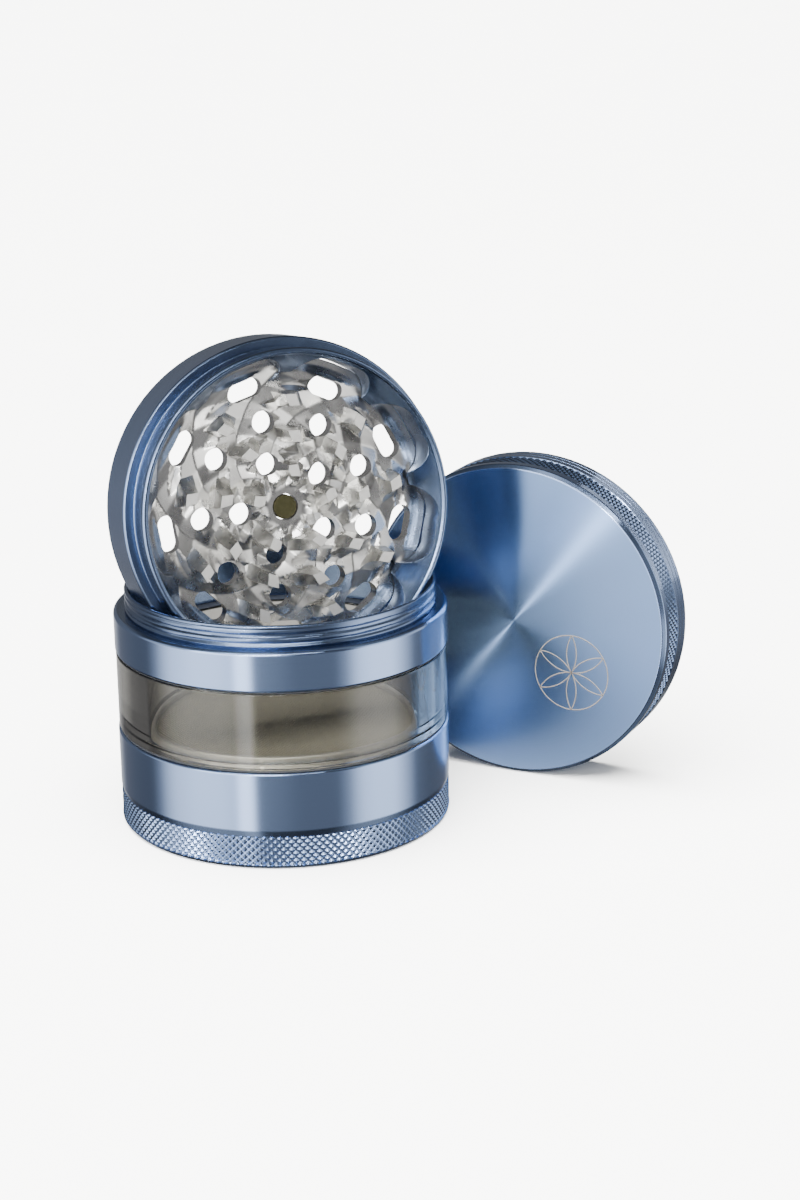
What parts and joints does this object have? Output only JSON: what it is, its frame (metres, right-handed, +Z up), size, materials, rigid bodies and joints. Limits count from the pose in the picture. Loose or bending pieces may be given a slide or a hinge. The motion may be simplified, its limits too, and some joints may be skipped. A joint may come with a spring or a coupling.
{
  "type": "herb grinder",
  "caption": "Round screw-together herb grinder with a knurled cup, a glass window chamber with a screen, a toothed grinding ring and a lid, shown apart.",
  "frame": {"origin": "centre of the cup's foot, on the surface it stands on", "axes": "+Z up along the cup and chamber's common axis, -Y towards the front, where the ring's open side and the lid's face look, and +X to the right, where the lid stands"},
  "size_m": [0.1103, 0.0707, 0.092],
  "materials": {
    "anodised_blue": "polished light-blue anodised aluminium",
    "machined_silver": "bare machined aluminium",
    "clear_glass": "clear, polished",
    "screen_wire": "fine woven stainless wire, olive grey",
    "seal_black": "thin black seal",
    "magnet": "dark plated magnet"
  },
  "bodies": {
    "cup": {"base_cup": "anodised_blue"},
    "seal": {"cup_seal": "seal_black"},
    "chamber": {"chamber_skirt": "anodised_blue", "screen_mesh": "screen_wire", "screen_clamp_ring": "machined_silver", "window_glass": "clear_glass", "window_seal": "seal_black", "chamber_collar": "anodised_blue"},
    "ring_hub": {"ring_magnet": "magnet"},
    "ring": {"ring_shell": "anodised_blue", "ring_tooth_plate": "machined_silver"},
    "lid_hub": {"lid_magnet": "magnet"},
    "lid": {"lid_shell": "anodised_blue", "lid_tooth_plate": "machined_silver"}
  },
  "joints": [
    {"name": "chamber_turn", "type": "hinge", "parent": "cup", "child": "seal", "pos_m": [0, 0, 0.0185], "axis": [0, 0, 1], "range_deg": [0, 1080]},
    {"name": "chamber_lift", "type": "slide", "parent": "seal", "child": "chamber", "axis": [0, 0, 1], "range_m": [0, 0.0048]},
    {"name": "ring_lift", "type": "slide", "parent": "chamber", "child": "ring_hub", "axis": [0, 0, 1], "range_m": [0, 0.06]},
    {"name": "ring_turn", "type": "hinge", "parent": "ring_hub", "child": "ring", "pos_m": [0.00191, -0.00522, 0.0608], "axis": [0.3409, -0.9317, 0.1253], "continuous": true},
    {"name": "lid_lay", "type": "hinge", "parent": "cup", "child": "lid_hub", "pos_m": [0.05135, 0.02419, 0], "axis": [-0.8755, 0.4833, 0], "range_deg": [0, 90]},
    {"name": "lid_turn", "type": "hinge", "parent": "lid_hub", "child": "lid", "pos_m": [0.0455, 0.0136, 0.0315], "axis": [-0.4833, -0.8755, 0], "continuous": true}
  ],
  "couplings": [
    {"joint": "chamber_lift", "follows": "chamber_turn", "m_per_rad": 0.00025465}
  ]
}
